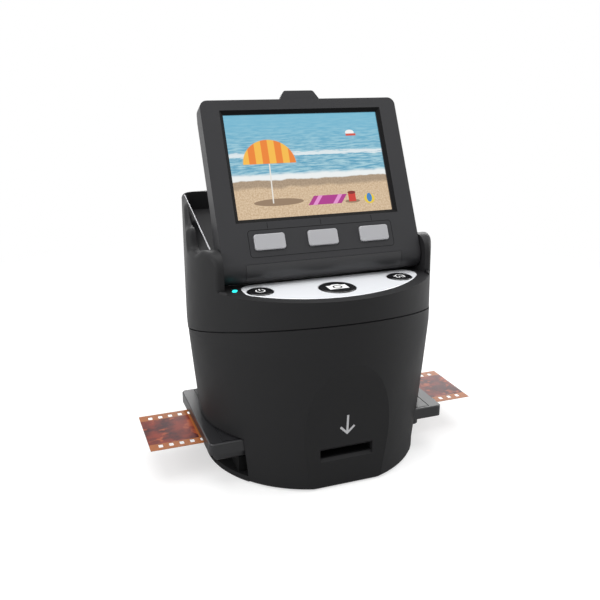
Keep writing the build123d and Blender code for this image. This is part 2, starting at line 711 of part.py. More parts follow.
def deck_button(x, y, radius):
    """A push button with a soft edge and a flange that stops it under the deck."""
    top = INSERT_TOP + BUTTON_PROUD
    cap = rod(x, y, DECK_UNDER - 0.1, top, radius)
    cap = fillet(cap.edges().sort_by(Axis.Z)[-1], 0.7)
    flange = rod(x, y, DECK_UNDER - 0.1 - BUTTON_FLANGE, DECK_UNDER - 0.1, radius + 1.0)
    return cap + flange


def status_light_solid(proud):
    """Oblong lens in the deck, with a collar under it."""
    height = DECK_THICKNESS + proud
    slot = Pos(STATUS_X, STATUS_Y) * Rot(0, 0, 62) * SlotOverall(STATUS_LENGTH, STATUS_WIDTH)
    return extrude(Pos(0, 0, DECK_UNDER) * slot, amount=height)


def control_board():
    """Board under the deck with one switch for each button and the light."""
    top = DECK_UNDER - CONTROL_BOARD_DROP
    shape = Ellipse(HALF_WIDTH - 9, FRONT_DEPTH - 8) & (
        Pos(0, INSERT_BACK - FAR / 2) * Rectangle(FAR, FAR)
    )
    board = extrude(Pos(0, 0, top - BOARD_THICKNESS) * shape, amount=BOARD_THICKNESS)
    for x, y in post_places()[:2]:
        board -= rod(x, y, top - 5, top + 5, POST_RADIUS + 0.6)
    return board


def deck_switches():
    """Click switches under the buttons, and the lamp under the status lens."""
    bottom = DECK_UNDER - CONTROL_BOARD_DROP
    top = DECK_UNDER - 0.1 - BUTTON_FLANGE - BUTTON_TRAVEL - 0.05
    pieces = []
    for x, y, radius in button_places().values():
        pieces.append(
            block(x - 3, x + 3, y - 3, y + 3, bottom, top - 1.0) + rod(x, y, top - 1.0, top, 1.6)
        )
    pieces.append(block(STATUS_X - 1, STATUS_X + 1, STATUS_Y - 1, STATUS_Y + 1, bottom, DECK_UNDER - 0.4))
    return Compound(pieces)


# -------------------------------------------------------------------- screen
def screen_location():
    """Frame of the raised screen: X across, Y up its face, Z out of it."""
    tilt = math.radians(SCREEN_TILT)
    foot = Vector(0, HINGE_Y, HINGE_Z)
    foot -= Vector(0, math.cos(tilt), math.sin(tilt)) * BARREL_FROM_FOOT
    foot += Vector(0, -math.sin(tilt), math.cos(tilt)) * BARREL_RADIUS
    return Location((0, foot.Y, foot.Z), (SCREEN_TILT, 0, 0))


def screen_prism(points, half_width):
    """A closed outline of (height, depth) points carried across the screen."""
    face = Plane.YZ * make_face(Polyline(*points, close=True))
    return extrude(face, amount=half_width, both=True)


def screen_solid():
    """Whole outline of the screen: flat slab, thicker foot and hinge barrel."""
    half = SCREEN_WIDTH / 2
    slab = screen_prism(
        [
            (BARREL_FROM_FOOT, 0),
            (SCREEN_HEIGHT, 0),
            (SCREEN_HEIGHT, -SCREEN_THICKNESS + BACK_CHAMFER_DEPTH),
            (SCREEN_HEIGHT - BACK_CHAMFER_RISE, -SCREEN_THICKNESS),
            (BACK_FLARE_TOP, -SCREEN_THICKNESS),
            (BARREL_FROM_FOOT + 1.6, -2 * BARREL_RADIUS + 0.3),
            (BARREL_FROM_FOOT, -BARREL_RADIUS),
        ],
        half,
    )
    corners = slab.edges().filter_by(Axis.Z).group_by(Axis.Y)[-1]
    slab = fillet(corners, SCREEN_CORNER)
    barrel = Pos(0, BARREL_FROM_FOOT, -BARREL_RADIUS) * Rot(0, 90, 0) * Cylinder(
        BARREL_RADIUS, SCREEN_WIDTH
    )
    return slab + barrel


def screen_rest_of(split_height):
    """The region behind the bezel, above the hinge."""
    return block(-FAR, FAR, split_height, FAR, -FAR, -BEZEL_THICKNESS)


def screen_hollow():
    """Room inside the screen for the display panel and its board."""
    wall = 1.8
    half = SCREEN_WIDTH / 2 - wall
    return block(
        -half, half, BARREL_FROM_FOOT + 4.0, SCREEN_HEIGHT - wall,
        -SCREEN_THICKNESS + wall, -KEY_PLATE,
    )


def window_tool():
    """Window over the active area, with a sloping border."""
    foot = ACTIVE_FOOT
    centre = foot + ACTIVE_HEIGHT / 2
    opening = Pos(0, centre, -KEY_PLATE / 2) * Box(ACTIVE_WIDTH, ACTIVE_HEIGHT, 2 * KEY_PLATE)
    grow = 2 * WINDOW_BEVEL
    outer = Pos(0, centre, 0) * Rectangle(ACTIVE_WIDTH + grow, ACTIVE_HEIGHT + grow)
    inner = Pos(0, centre, -WINDOW_DEPTH) * Rectangle(ACTIVE_WIDTH, ACTIVE_HEIGHT)
    return opening + loft([inner, outer])


def hinge_cover_solid(gap):
    """Curved cover over the front of the barrel."""
    half = COVER_HALF_WIDTH + gap
    place = Pos(0, BARREL_FROM_FOOT, -BARREL_RADIUS) * Rot(0, 90, 0)
    ring = place * (
        Cylinder(BARREL_RADIUS, 2 * half)
        - Cylinder(BARREL_RADIUS - COVER_THICKNESS - gap, 2 * half + 1)
    )
    lower_front = block(
        -half, half, -FAR, BARREL_FROM_FOOT - 0.4 + gap, -BARREL_RADIUS - 3.0 - gap, FAR
    )
    return ring & lower_front


def key_places():
    """X of the three keys below the window."""
    return {
        "display_key_left": -KEY_PITCH,
        "display_key_middle": 0.0,
        "display_key_right": KEY_PITCH,
    }


def key_hole(x):
    """Opening in the bezel for one key."""
    grow = 2 * KEY_CLEARANCE
    outline = RectangleRounded(KEY_WIDTH + grow, KEY_HEIGHT + grow, 1.2 + KEY_CLEARANCE)
    return extrude(Pos(x, KEY_FOOT, -KEY_PLATE - 1) * outline, amount=KEY_PLATE + 2)


def display_bezel():
    """Front of the screen, with the hinge barrel and the finger tab."""
    body = screen_solid() - screen_rest_of(BARREL_FROM_FOOT + BARREL_RADIUS + 2)
    root, tip = TAB_HALF_WIDTH, TAB_TIP_HALF_WIDTH
    low, high = SCREEN_HEIGHT - 1, SCREEN_HEIGHT + TAB_HEIGHT
    outline = make_face(Polyline((-root, low), (root, low), (tip, high), (-tip, high), close=True))
    tab = extrude(Pos(0, 0, -TAB_SETBACK - TAB_THICKNESS) * outline, amount=TAB_THICKNESS)
    tab = fillet(tab.edges().filter_by(Axis.Z).group_by(Axis.Y)[-1], 1.6)
    body += tab
    body -= screen_hollow()
    body -= window_tool()
    body -= hinge_cover_solid(0.12)
    for x in key_places().values():
        body -= key_hole(x)
    bore_length = PIN_IN_BARREL + 0.5
    for side in (-1, 1):
        x = side * (SCREEN_WIDTH / 2 - bore_length / 2 + 0.01)
        place = Pos(x, BARREL_FROM_FOOT, -BARREL_RADIUS) * Rot(0, 90, 0)
        body -= place * Cylinder(PIN_RADIUS + PIN_CLEARANCE, bore_length)
    return body


def display_back():
    """Back cover of the screen."""
    body = screen_solid() & screen_rest_of(BARREL_FROM_FOOT + BARREL_RADIUS + 2)
    return body - screen_hollow()


def lcd_panel():
    """Display panel behind the window."""
    width = ACTIVE_WIDTH + 2 * PANEL_MARGIN
    height = ACTIVE_HEIGHT + PANEL_MARGIN + 2.0
    centre = ACTIVE_FOOT + ACTIVE_HEIGHT / 2
    return Pos(0, centre, -KEY_PLATE - PANEL_THICKNESS / 2) * Box(width, height, PANEL_THICKNESS)


def display_board():
    """Board behind the panel, with a switch under each key."""
    front = -KEY_PLATE - PANEL_THICKNESS
    low, high = BARREL_FROM_FOOT + 4.4, ACTIVE_FOOT + ACTIVE_HEIGHT
    half = SCREEN_WIDTH / 2 - BOARD_IN_X
    board = block(-half, half, low, high, front - BOARD_THICKNESS, front)
    switch_top = -KEY_PLATE - 0.05 - KEY_FLANGE - KEY_TRAVEL - 0.05
    for x in key_places().values():
        board += block(x - 2.5, x + 2.5, KEY_FOOT - 2.5, KEY_FOOT + 2.5, front, switch_top)
    return board


def display_key(x):
    """A key with a soft edge and a flange behind the bezel."""
    outline = RectangleRounded(KEY_WIDTH, KEY_HEIGHT, 1.2)
    back = -KEY_PLATE - 0.05
    cap = extrude(Pos(x, KEY_FOOT, back) * outline, amount=KEY_PROUD - back)
    cap = fillet(cap.faces().sort_by(Axis.Z)[-1].edges(), 0.4)
    rim = RectangleRounded(KEY_WIDTH + 1.6, KEY_HEIGHT + 1.6, 1.6)
    return cap + extrude(Pos(x, KEY_FOOT, back - KEY_FLANGE) * rim, amount=KEY_FLANGE)


# --------------------------------------------------------------- film holder
def holder_plate(half_length, half_width, bottom, top):
    """A plate with rounded upright corners."""
    outline = RectangleRounded(2 * half_length, 2 * half_width, TRAY_CORNER)
    return extrude(Pos(0, 0, bottom) * outline, amount=top - bottom)


def frame_hole():
    """Opening for one picture, right through."""
    return Box(FRAME_WIDTH, FRAME_HEIGHT, FAR)


def tray_top():
    """Upper half of the film holder, with the film's channel beneath."""
    body = holder_plate(TRAY_HALF_LENGTH, TRAY_HALF_WIDTH, LIP_BOTTOM, TRAY_TOP)
    body = chamfer(body.faces().sort_by(Axis.Z)[-1].edges(), 0.4)
    end = TRAY_HALF_LENGTH - TRAY_PANEL_END
    side = TRAY_HALF_WIDTH - TRAY_PANEL_SIDE
    groove = Rectangle(2 * end, 2 * side) - Rectangle(2 * end - 0.8, 2 * side - 0.8)
    body -= extrude(Pos(0, 0, TRAY_TOP - 0.5) * groove, amount=1)
    body -= block(
        -FAR, FAR, -FILM_WIDTH / 2 - 0.4, FILM_WIDTH / 2 + 0.4, LIP_BOTTOM - 1, LIP_BOTTOM + FILM_CHANNEL
    )
    return body - frame_hole()


def tray_base():
    """Lower half of the film holder."""
    inset = TRAY_KEEL_INSET
    cut = TRAY_KEEL_SHORT - inset
    body = Pos(-cut / 2, 0, 0) * holder_plate(
        TRAY_HALF_LENGTH - inset - cut / 2, TRAY_HALF_WIDTH - inset, KEEL_BOTTOM, LIP_BOTTOM
    )
    body = chamfer(body.faces().sort_by(Axis.Z)[0].edges(), 0.6)
    return body - frame_hole()


def film_strip():
    """A strip of 35 mm film with its two rows of perforations."""
    bottom = LIP_BOTTOM + 0.3
    strip = Pos(0, 0, bottom + FILM_THICKNESS / 2) * Box(FILM_LENGTH, FILM_WIDTH, FILM_THICKNESS)
    count = int((FILM_LENGTH - PERFORATION_PITCH) / PERFORATION_PITCH)
    row = FILM_WIDTH / 2 - PERFORATION_EDGE - PERFORATION_WIDTH / 2
    hole = RectangleRounded(PERFORATION_LENGTH, PERFORATION_WIDTH, 0.4)
    spots = GridLocations(PERFORATION_PITCH, 2 * row, count, 2)
    return strip - [extrude(Pos(0, 0, bottom - 1) * spot * hole, amount=2) for spot in spots]


# ------------------------------------------------------------ inner workings
def base_plate():
    """Bottom plate: let into the shell, and out to its edge under the tray."""
    inner = lower_plan(BODY_BOTTOM, WALL + 0.3)
    front_cut = Pos(0, SCOOP_PLANE + WALL + 0.3 - FAR / 2, BODY_BOTTOM) * Rectangle(FAR, FAR)
    sill = lower_plan(BODY_BOTTOM) & (
        Pos(0, 0, BODY_BOTTOM) * Rectangle(FAR, 2 * TUNNEL_HALF_WIDTH - 0.6)
    )
    plate = extrude(inner - front_cut, amount=BASE_THICKNESS)
    plate += extrude(sill, amount=BASE_THICKNESS)
    for x, y in post_places():
        plate -= rod(x, y, -5, 10, SCREW_HEAD_RADIUS + SCREW_CLEARANCE)
    for x, y in base_screw_places():
        plate -= rod(x, y, -5, 10, SCREW_RADIUS + SCREW_CLEARANCE)
        plate -= rod(x, y, -5, BODY_BOTTOM + SCREW_HEAD_HEIGHT, SCREW_HEAD_RADIUS + SCREW_CLEARANCE)
    for x, y in foot_places():
        plate -= rod(x, y, -5, BODY_BOTTOM + FOOT_RECESS, FOOT_RADIUS)
    return plate


def screw(x, y, head_bottom, length):
    """A screw from below: round head with a cross recess, and its shank."""
    head = rod(x, y, head_bottom, head_bottom + SCREW_HEAD_HEIGHT, SCREW_HEAD_RADIUS)
    shank = rod(x, y, head_bottom + 1, head_bottom + SCREW_HEAD_HEIGHT + length, SCREW_RADIUS)
    slot = Pos(x, y, head_bottom) * (Box(2.6, 0.6, 1.2) + Box(0.6, 2.6, 1.2))
    return head + shank - slot


def base_screws():
    """Four screws that hold the base plate."""
    plate_left = BASE_THICKNESS - SCREW_HEAD_HEIGHT
    return Compound(
        [screw(x, y, BODY_BOTTOM, plate_left + BASE_SCREW_GRIP) for x, y in base_screw_places()]
    )


def housing_screws():
    """Four long-reach screws that join the two housings."""
    return Compound(
        [
            screw(x, y, screw_seat(y) - SCREW_HEAD_HEIGHT, SCREW_SEAT + SCREW_GRIP)
            for x, y in post_places()
        ]
    )


def rubber_feet():
    """Four round feet."""
    feet = []
    for x, y in foot_places():
        foot = rod(x, y, 0, BODY_BOTTOM + FOOT_RECESS, FOOT_RADIUS)
        feet.append(chamfer(foot.edges().sort_by(Axis.Z)[0], 0.3))
    return Compound(feet)


def tray_rails():
    """Two rails on the base plate: a ledge under the holder and a side wall."""
    rails = []
    for side in (-1, 1):
        section = [
            (side * RAIL_INNER, BASE_TOP),
            (side * RAIL_OUTER, BASE_TOP),
            (side * RAIL_OUTER, GATE_BOTTOM),
            (side * RAIL_INNER, GATE_BOTTOM),
            (side * RAIL_INNER, LIP_BOTTOM - RUNNING_GAP),
            (side * (TRAY_HALF_WIDTH - TRAY_KEEL_INSET + 0.3), LIP_BOTTOM - RUNNING_GAP),
            (side * (TRAY_HALF_WIDTH - TRAY_KEEL_INSET + 0.3), LIP_BOTTOM - RAIL_LEDGE),
            (side * RAIL_INNER, LIP_BOTTOM - RAIL_LEDGE),
        ]
        rails.append(side_profile(section, RAIL_HALF_LENGTH))
    return Compound(rails)


def lamp_box():
    """Tray-shaped box under the film, with a seat for the diffuser."""
    outer = block(
        -LAMP_HALF_LENGTH, LAMP_HALF_LENGTH, -LAMP_HALF_WIDTH, LAMP_HALF_WIDTH, BASE_TOP, LAMP_TOP
    )
    inner = block(
        -DIFFUSER_HALF_LENGTH + 2, DIFFUSER_HALF_LENGTH - 2,
        -DIFFUSER_HALF_WIDTH + 2, DIFFUSER_HALF_WIDTH - 2, BASE_TOP + LAMP_WALL, LAMP_TOP + 1,
    )
    seat = block(
        -DIFFUSER_HALF_LENGTH, DIFFUSER_HALF_LENGTH,
        -DIFFUSER_HALF_WIDTH, DIFFUSER_HALF_WIDTH, LAMP_TOP - DIFFUSER_THICKNESS, LAMP_TOP + 1,
    )
    outer = chamfer(outer.faces().sort_by(Axis.Z)[-1].edges(), 0.8)
    return outer - inner - seat


def light_panel():
    """Diffuser that lights the film from below."""
    return block(
        -DIFFUSER_HALF_LENGTH, DIFFUSER_HALF_LENGTH,
        -DIFFUSER_HALF_WIDTH, DIFFUSER_HALF_WIDTH, LAMP_TOP - DIFFUSER_THICKNESS, LAMP_TOP,
    )


def light_board():
    """Board with rows of small lamps on the floor of the lamp box."""
    bottom = BASE_TOP + LAMP_WALL
    top = bottom + BOARD_THICKNESS
    board = block(
        -DIFFUSER_HALF_LENGTH + 2.4, DIFFUSER_HALF_LENGTH - 2.4,
        -DIFFUSER_HALF_WIDTH + 2.4, DIFFUSER_HALF_WIDTH - 2.4, bottom, top,
    )
    dots = GridLocations(LAMP_PITCH_X, LAMP_PITCH_Y, 4, 3)
    lift = Pos(0, 0, top + LAMP_DOT_HEIGHT / 2)
    return board + [lift * dot * Box(LAMP_DOT, LAMP_DOT, LAMP_DOT_HEIGHT) for dot in dots]


def film_gate():
    """Plate over the holder that masks one picture."""
    plate = block(
        -GATE_HALF_LENGTH, GATE_HALF_LENGTH, -RAIL_OUTER, RAIL_OUTER, GATE_BOTTOM, GATE_TOP
    )
    return plate - Box(FRAME_WIDTH + 2, FRAME_HEIGHT + 2, FAR)


def square_at(size, height):
    """A square outline at one height."""
    return Pos(0, 0, height) * Rectangle(size, size)


def lens_tower():
    """Tapered light-tight tower with a lens bore and a collar at its head."""
    foot, head = GATE_TOP, GATE_TOP + TOWER_HEIGHT
    wall = 2 * TOWER_WALL
    outer = loft([square_at(TOWER_FOOT, foot), square_at(TOWER_HEAD, head)])
    inner = loft([square_at(TOWER_FOOT - wall, foot), square_at(TOWER_HEAD - wall, head - 2 * wall)])
    collar = Pos(0, 0, head + TOWER_COLLAR / 2) * (
        Box(TOWER_HEAD, TOWER_HEAD, TOWER_COLLAR)
        - Box(TOWER_HEAD - wall, TOWER_HEAD - wall, TOWER_COLLAR)
    )
    return outer - inner + collar - rod(0, 0, foot, head + 1, LENS_RADIUS)


def lens_barrel():
    """Lens mount with a stepped bore."""
    head = GATE_TOP + TOWER_HEIGHT
    body = rod(0, 0, head - LENS_LENGTH, head, LENS_RADIUS)
    body -= rod(0, 0, head - LENS_LENGTH, head - LENS_LENGTH + LENS_GLASS_THICKNESS, LENS_GLASS_RADIUS)
    return body - rod(0, 0, head - LENS_LENGTH, head + 1, LENS_GLASS_RADIUS - 1.2)


def lens_glass():
    """Front element of the lens."""
    bottom = GATE_TOP + TOWER_HEIGHT - LENS_LENGTH
    return rod(0, 0, bottom, bottom + LENS_GLASS_THICKNESS, LENS_GLASS_RADIUS)


def sensor_board():
    """Board on the collar at the head of the tower."""
    bottom = GATE_TOP + TOWER_HEIGHT + TOWER_COLLAR
    half = TOWER_HEAD / 2
    return block(-half, half, -half, half, bottom, bottom + BOARD_THICKNESS)


def image_sensor():
    """Sensor on the underside of its board."""
    top = GATE_TOP + TOWER_HEIGHT + TOWER_COLLAR
    return Pos(0, 0, top - SENSOR_THICKNESS / 2) * Box(SENSOR_LENGTH, SENSOR_WIDTH, SENSOR_THICKNESS)


def card_socket():
    """Socket for a memory card behind the slot, in front of the rail."""
    front = SCOOP_PLANE + WALL
    margin = CARD_SOCKET_MARGIN
    half = SLOT_HALF_WIDTH + margin
    body = block(-half, half, front, -RAIL_OUTER, SLOT_BOTTOM - margin, SLOT_TOP + margin)
    return body - block(
        -SLOT_HALF_WIDTH, SLOT_HALF_WIDTH, front - 1, -RAIL_OUTER - 1.2, SLOT_BOTTOM, SLOT_TOP
    )


def main_board():
    """Upright board in front of the back wall."""
    half = MAIN_BOARD_HALF_WIDTH
    return block(
        -half, half, MAIN_BOARD_Y, MAIN_BOARD_Y + BOARD_THICKNESS, MAIN_BOARD_BOTTOM, MAIN_BOARD_TOP
    )


def rear_socket(x, width, height):
    """A metal-shelled socket from the main board to the back wall's face."""
    front = MAIN_BOARD_Y + BOARD_THICKNESS
    end = BASE_BACK_DEPTH - 0.4
    shell = block(
        x - width / 2, x + width / 2, front, end, SOCKET_Z - height / 2, SOCKET_Z + height / 2
    )
    mouth = block(
        x - width / 2 + SOCKET_SHELL, x + width / 2 - SOCKET_SHELL, front + 2, end + 1,
        SOCKET_Z - height / 2 + SOCKET_SHELL, SOCKET_Z + height / 2 - SOCKET_SHELL,
    )
    tongue = block(
        x - width / 4, x + width / 4, front + 2, end - 1, SOCKET_Z - 0.4, SOCKET_Z + 0.4
    )
    return shell - mouth + tongue


# ------------------------------------------------------------------ assembly
def build():
    """Makes every part about the plan centre."""
    keep("lower_housing", lower_housing())
    keep("upper_housing", upper_housing())
    keep("base_plate", base_plate())
    keep("rubber_feet", rubber_feet())
    keep("base_screws", base_screws())
    keep("housing_screws", housing_screws())
    keep("hinge_pins", Compound([hinge_pin(-1), hinge_pin(1)]))
    keep("deck_insert", deck_insert())
    keep("status_light", status_light_solid(0.2))
    keep("control_board", control_board())
    keep("deck_switches", deck_switches())
    for node, (x, y, radius) in button_places().items():
        keep(node, deck_button(x, y, radius))

    screen = screen_location()
    keep("display_bezel", screen * display_bezel())
    keep("display_back", screen * display_back())
    keep("lcd_panel", screen * lcd_panel())
    keep("display_board", screen * display_board())
    keep("hinge_cover", screen * hinge_cover_solid(0.0))
    for node, x in key_places().items():
        keep(node, screen * display_key(x))

    keep("tray_top", tray_top())
    keep("tray_base", tray_base())
    keep("film_strip", film_strip())
    keep("tray_rails", tray_rails())

    keep("lamp_box", lamp_box())
    keep("light_panel", light_panel())
    keep("light_board", light_board())
    keep("film_gate", film_gate())
    keep("lens_tower", lens_tower())
    keep("lens_barrel", lens_barrel())
    keep("lens_glass", lens_glass())
    keep("image_sensor", image_sensor())
    keep("sensor_board", sensor_board())
    keep("card_socket", card_socket())
    keep("main_board", main_board())
    keep("usb_socket", rear_socket(USB_X, USB_WIDTH, USB_HEIGHT))
    keep("video_socket", rear_socket(VIDEO_X, VIDEO_WIDTH, VIDEO_HEIGHT))


build()

if __name__ == "__main__":
    os.makedirs("parts", exist_ok=True)
    for node, shape in PARTS.items():
        export_step(Pos(0, FOOTPRINT_SHIFT, 0) * shape, f"parts/{node}.step")
        print(node, len(shape.solids()), round(shape.volume), shape.bounding_box().size)
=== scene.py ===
import json
import math

import bpy
import numpy as np
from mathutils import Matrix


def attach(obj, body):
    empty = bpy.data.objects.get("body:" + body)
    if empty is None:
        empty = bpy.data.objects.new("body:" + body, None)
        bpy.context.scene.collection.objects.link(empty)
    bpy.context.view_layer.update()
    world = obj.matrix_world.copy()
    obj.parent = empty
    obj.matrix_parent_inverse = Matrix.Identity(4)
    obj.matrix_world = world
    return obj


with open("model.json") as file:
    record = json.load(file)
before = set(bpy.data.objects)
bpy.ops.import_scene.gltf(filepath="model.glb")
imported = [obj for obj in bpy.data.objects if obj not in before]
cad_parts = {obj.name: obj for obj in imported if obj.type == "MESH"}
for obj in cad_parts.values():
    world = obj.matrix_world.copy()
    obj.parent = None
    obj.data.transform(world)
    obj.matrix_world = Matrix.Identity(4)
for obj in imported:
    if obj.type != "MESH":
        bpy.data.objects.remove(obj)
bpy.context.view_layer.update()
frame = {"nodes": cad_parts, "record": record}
NODES = frame["nodes"]


# ------------------------------------------------------------ shared sizes
# Blender works in metres, with X to the right, Y to the back and Z up. The
# sizes here are in millimetres, apart from HINGE, FOOT and the floor's, the
# lights' and the camera's places.
MM = 0.001
PLAN_SHIFT = -4.8                             # Y of the body's plan centre
SKIN = 0.03                                   # grooves and arrow, off what carries them

# The raised screen: UP runs up along its face, OUT points out of it, and FOOT
# is the middle of the face's lower edge.
TILT = math.radians(63.7)                     # face to the table
HINGE = np.array([0.0, -19.1, 95.55]) * MM
UP = np.array([0.0, math.cos(TILT), math.sin(TILT)])
OUT = np.array([0.0, -math.sin(TILT), math.cos(TILT)])
HINGE_UP, HINGE_IN = 7.5, 6.9                 # hinge, up from the foot and behind the face
FOOT = HINGE - UP * HINGE_UP * MM + OUT * HINGE_IN * MM

WINDOW_HALF_WIDTH = 36.72                     # picture window of the screen's front
WINDOW_LOW, WINDOW_HIGH = 27.0, 74.3
WINDOW_LAP = 0.02                             # its dark band reaches in over the picture
BEVEL, BEVEL_DEPTH = 1.6, 1.2
PICTURE_DEPTH = 1.95                          # picture behind the face
STRIP_HALF_WIDTH = 33.97                      # grooved frame round the three keys
STRIP_LOW, STRIP_HIGH, STRIP_CORNER = 9.94, 22.0, 1.6
TICK_X = {"left": -24.6, "middle": 0.0, "right": 24.6}
TICK_LOW, TICK_HIGH = 22.3, 24.9
LINE = 0.22                                   # width of the grooves
SHARP = 0.05                                  # corner radius that reads as sharp

BUTTON_AT = {"power": (-32.6, -32.4), "capture": (0, -38.1), "home": (32.6, -32.4)}
BUTTON_TOP = 88.65
PRINT_LIFT = 0.02                             # a sign above the button's top

RECESS_Y = -46.6                              # card recess in plan, upright part
RECESS_BEND, RECESS_RADIUS = 18.0, 172.0      # height where its arc starts

CRADLE_X = 47.15                              # inner edge of each shoulder
CRADLE_FRONT, CRADLE_BACK = -1.0, 49.5        # its ends in plan
CRADLE_HEIGHT, CRADLE_SLOPE = 101.6, 0.319    # at the plan centre, and per mm to the back
CRADLE_LEVEL = 117.3                          # where it levels out, at the rim
BEAD_RADIUS, BEAD_STEPS, BEAD_SIDES = 0.32, 40, 8

FILM_PITCH = 38.0                             # from one picture to the next
FILM_PICTURE = (11.8, 12.1)                   # half height of one, to its soft edge

FLOOR_REACH = 6
CAMERA_PLACE = (-0.11966, -0.31505, 0.17978)
CAMERA_DOWN, CAMERA_TURN = 17.86, -20.34      # degrees
CAMERA_LENS, CAMERA_SENSOR = 44.26, 36


def srgb(r, g, b):
    """Linear colour of an sRGB value given in 0 to 255."""
    def one(c):
        c /= 255.0
        return c / 12.92 if c <= 0.04045 else ((c + 0.055) / 1.055) ** 2.4
    return (one(r), one(g), one(b), 1.0)


# -------------------------------------------------------------- node helpers
class Graph:
    """A material's node tree with short calls for the nodes used here."""

    def __init__(self, name):
        self.mat = bpy.data.materials.new(name)
        self.mat.use_nodes = True
        self.tree = self.mat.node_tree
        self.tree.nodes.clear()
        self.out = self.add("ShaderNodeOutputMaterial")
        self.bsdf = self.add("ShaderNodeBsdfPrincipled")
        self.link(self.bsdf.outputs[0], self.out.inputs["Surface"])

    def add(self, kind, **props):
        """A new node with the given settings."""
        node = self.tree.nodes.new(kind)
        for key, value in props.items():
            setattr(node, key, value)
        return node

    def link(self, a, b):
        """A wire from an output to an input."""
        self.tree.links.new(a, b)

    def put(self, socket, value):
        """A constant or another node's output, into a socket."""
        if hasattr(value, "is_linked"):
            self.link(value, socket)
        else:
            socket.default_value = value

    def shade(self, sockets):
        """Constants or outputs into the shader's sockets, by their names."""
        for name, value in sockets.items():
            self.put(self.bsdf.inputs[name], value)

    def math(self, op, a, b=0.0, clamp=False):
        """One step of arithmetic."""
        node = self.add("ShaderNodeMath", operation=op, use_clamp=clamp)
        self.put(node.inputs[0], a)
        self.put(node.inputs[1], b)
        return node.outputs[0]

    def distance(self, value, middle):
        """How far a value lies from a middle."""
        return self.math("ABSOLUTE", self.math("SUBTRACT", value, middle))

    def mix(self, factor, a, b):
        """Colour a where the factor is 0, and b where it is 1."""
        node = self.add("ShaderNodeMix", data_type="RGBA")
        self.put(node.inputs["Factor"], factor)
        self.put(node.inputs["A"], a)
        self.put(node.inputs["B"], b)
        return node.outputs["Result"]

    def noise(self, vector, scale, detail=3.0, rough=0.55):
        """Soft noise from 0 to 1."""
        node = self.add("ShaderNodeTexNoise")
        self.link(vector, node.inputs["Vector"])
        node.inputs["Scale"].default_value = scale
        node.inputs["Detail"].default_value = detail
        node.inputs["Roughness"].default_value = rough
        return node.outputs["Fac"]

    def ramp(self, value, low, high, to_low=0.0, to_high=1.0):
        """A smooth step from to_low at low to to_high at high."""
        node = self.add("ShaderNodeMapRange", interpolation_type="SMOOTHSTEP")
        self.put(node.inputs["Value"], value)
        node.inputs["From Min"].default_value = low
        node.inputs["From Max"].default_value = high
        node.inputs["To Min"].default_value = to_low
        node.inputs["To Max"].default_value = to_high
        return node.outputs["Result"]

    def coords(self):
        """Places on the object, in metres."""
        return self.add("ShaderNodeTexCoord").outputs["Object"]

    def uv(self):
        """The piece's own UV."""
        return self.add("ShaderNodeTexCoord").outputs["UV"]

    def split(self, vector):
        """The X and Y of a vector."""
        node = self.add("ShaderNodeSeparateXYZ")
        self.link(vector, node.inputs[0])
        return node.outputs["X"], node.outputs["Y"]

    def join(self, x, y):
        """A vector of two values."""
        node = self.add("ShaderNodeCombineXYZ")
        self.link(x, node.inputs[0])
        self.link(y, node.inputs[1])
        return node.outputs[0]


# ----------------------------------------------------------------- materials
def plastic(name, colour, rough, grain=0.0, spread=0.04, coat=0.0, metal=0.0, specular=0.5):
    """Moulded plastic or plain metal: a fine grain in the bump, and a gloss that
    wanders by spread over a few centimetres."""
    g = Graph(name)
    at = g.coords()
    g.shade({
        "Base Color": srgb(*colour), "Metallic": metal, "Specular IOR Level": specular,
        "Coat Weight": coat, "Coat Roughness": 0.06,
        "Roughness": g.ramp(g.noise(at, 34.0), 0.3, 0.7, rough - spread, rough + spread),
    })
    if grain:
        bump = g.add("ShaderNodeBump")
        bump.inputs["Strength"].default_value = grain
        bump.inputs["Distance"].default_value = 0.00004
        g.link(g.noise(at, 2600.0, 2.0), bump.inputs["Height"])
        g.link(bump.outputs[0], g.bsdf.inputs["Normal"])
    return g.mat


def board_material():
    """Green circuit board with lighter tracks."""
    g = Graph("board")
    tracks = g.ramp(g.noise(g.coords(), 900.0, 0.0), 0.47, 0.53)
    tone = g.mix(tracks, (0.012, 0.09, 0.035, 1), (0.02, 0.15, 0.06, 1))
    g.shade({"Base Color": tone, "Roughness": 0.4})
    return g.mat


def film_material():
    """Developed colour film: an orange base with clear edges, and one denser
    picture of soft blots in each pitch."""
    g = Graph("film")
    at = g.coords()
    along, across = g.split(at)
    pitch = FILM_PITCH * MM
    pitches = g.math("DIVIDE", g.math("ADD", along, pitch / 2), pitch)
    in_x = g.ramp(g.distance(g.math("FRACT", pitches), 0.5), 0.468, 0.474, 1.0, 0.0)
    inner, outer = FILM_PICTURE
    in_y = g.ramp(g.distance(across, PLAN_SHIFT * MM), inner * MM, outer * MM, 1.0, 0.0)
    blots = g.ramp(g.noise(at, 95.0, 4.0, 0.6), 0.36, 0.68)
    tone = g.mix(blots, srgb(58, 8, 16), srgb(132, 44, 24))
    warm = g.ramp(g.noise(at, 210.0, 2.0), 0.55, 0.7)
    tone = g.mix(warm, tone, srgb(160, 74, 38))
    tone = g.mix(g.math("MULTIPLY", in_x, in_y), srgb(158, 92, 46), tone)
    g.shade({"Base Color": tone, "Roughness": 0.3, "Specular IOR Level": 0.12})
    return g.mat


def optic_painted_sheen():
    """Dark coated optic with a painted reflection: its colour turns bluer where
    it is seen aslant, in place of the coating's sheen.
    """
    g = Graph("optic")
    layer = g.add("ShaderNodeLayerWeight")
    layer.inputs["Blend"].default_value = 0.4
    # painted reflection: the facing weight tints the colour blue where the optic is seen aslant
    tone = g.mix(layer.outputs["Facing"], (0.004, 0.006, 0.012, 1), (0.03, 0.05, 0.16, 1))
    g.shade({"Base Color": tone, "Roughness": 0.05, "Coat Weight": 1.0})
    return g.mat


